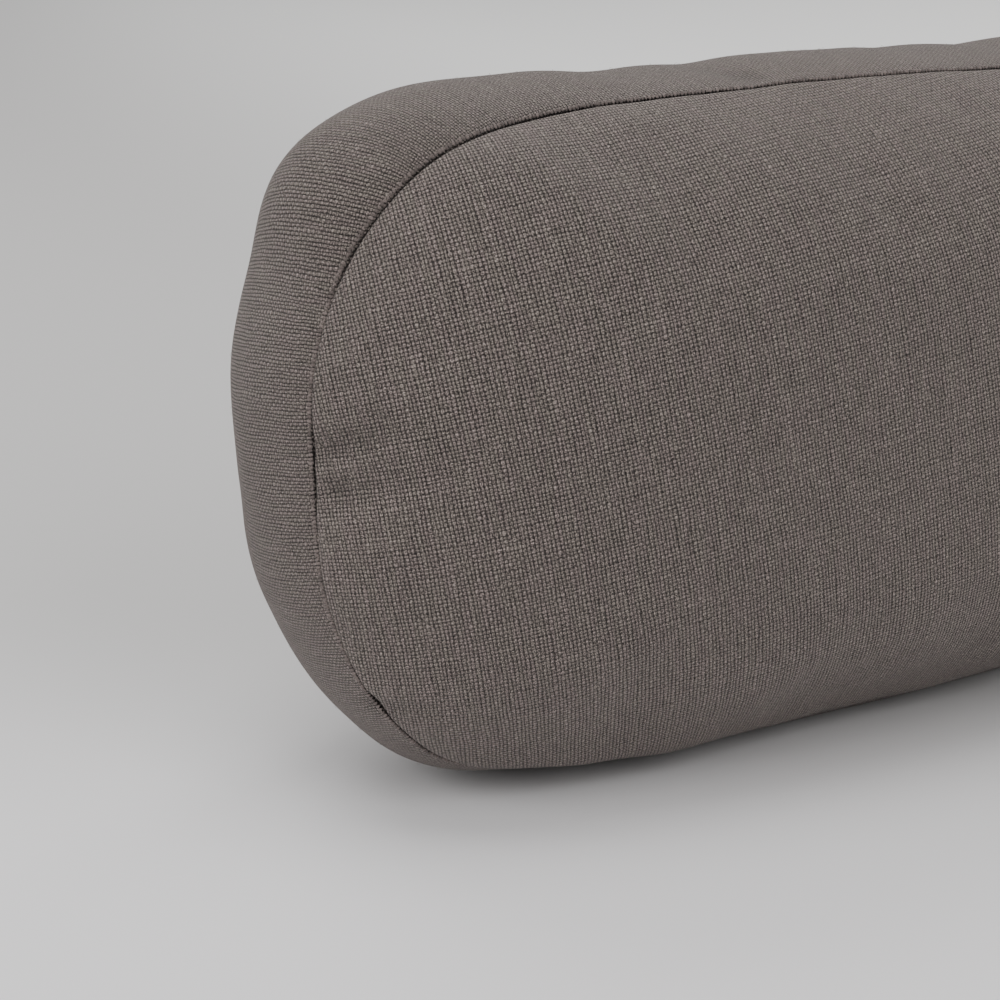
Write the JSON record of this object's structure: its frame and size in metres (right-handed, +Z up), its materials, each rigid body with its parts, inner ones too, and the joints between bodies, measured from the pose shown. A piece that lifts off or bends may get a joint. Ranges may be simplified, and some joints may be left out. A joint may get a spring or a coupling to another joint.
{
  "type": "pram pillow",
  "caption": "Boxed, filled linen pillow for a pram or carrycot, with crowned oblong panels sewn to a boxing band. It stands on its long edge.",
  "frame": {"origin": "on the floor, under the middle of the pillow's box", "axes": "+X along the pillow's length, to the right as its front panel is seen; the front panel faces -Y; +Z up from the long edge that the pillow stands on"},
  "size_m": [0.3266, 0.1272, 0.1846],
  "materials": {
    "linen": "taupe plain-weave linen, matt, with slubs"
  },
  "bodies": {
    "root": {"pillow": "linen"}
  },
  "joints": []
}
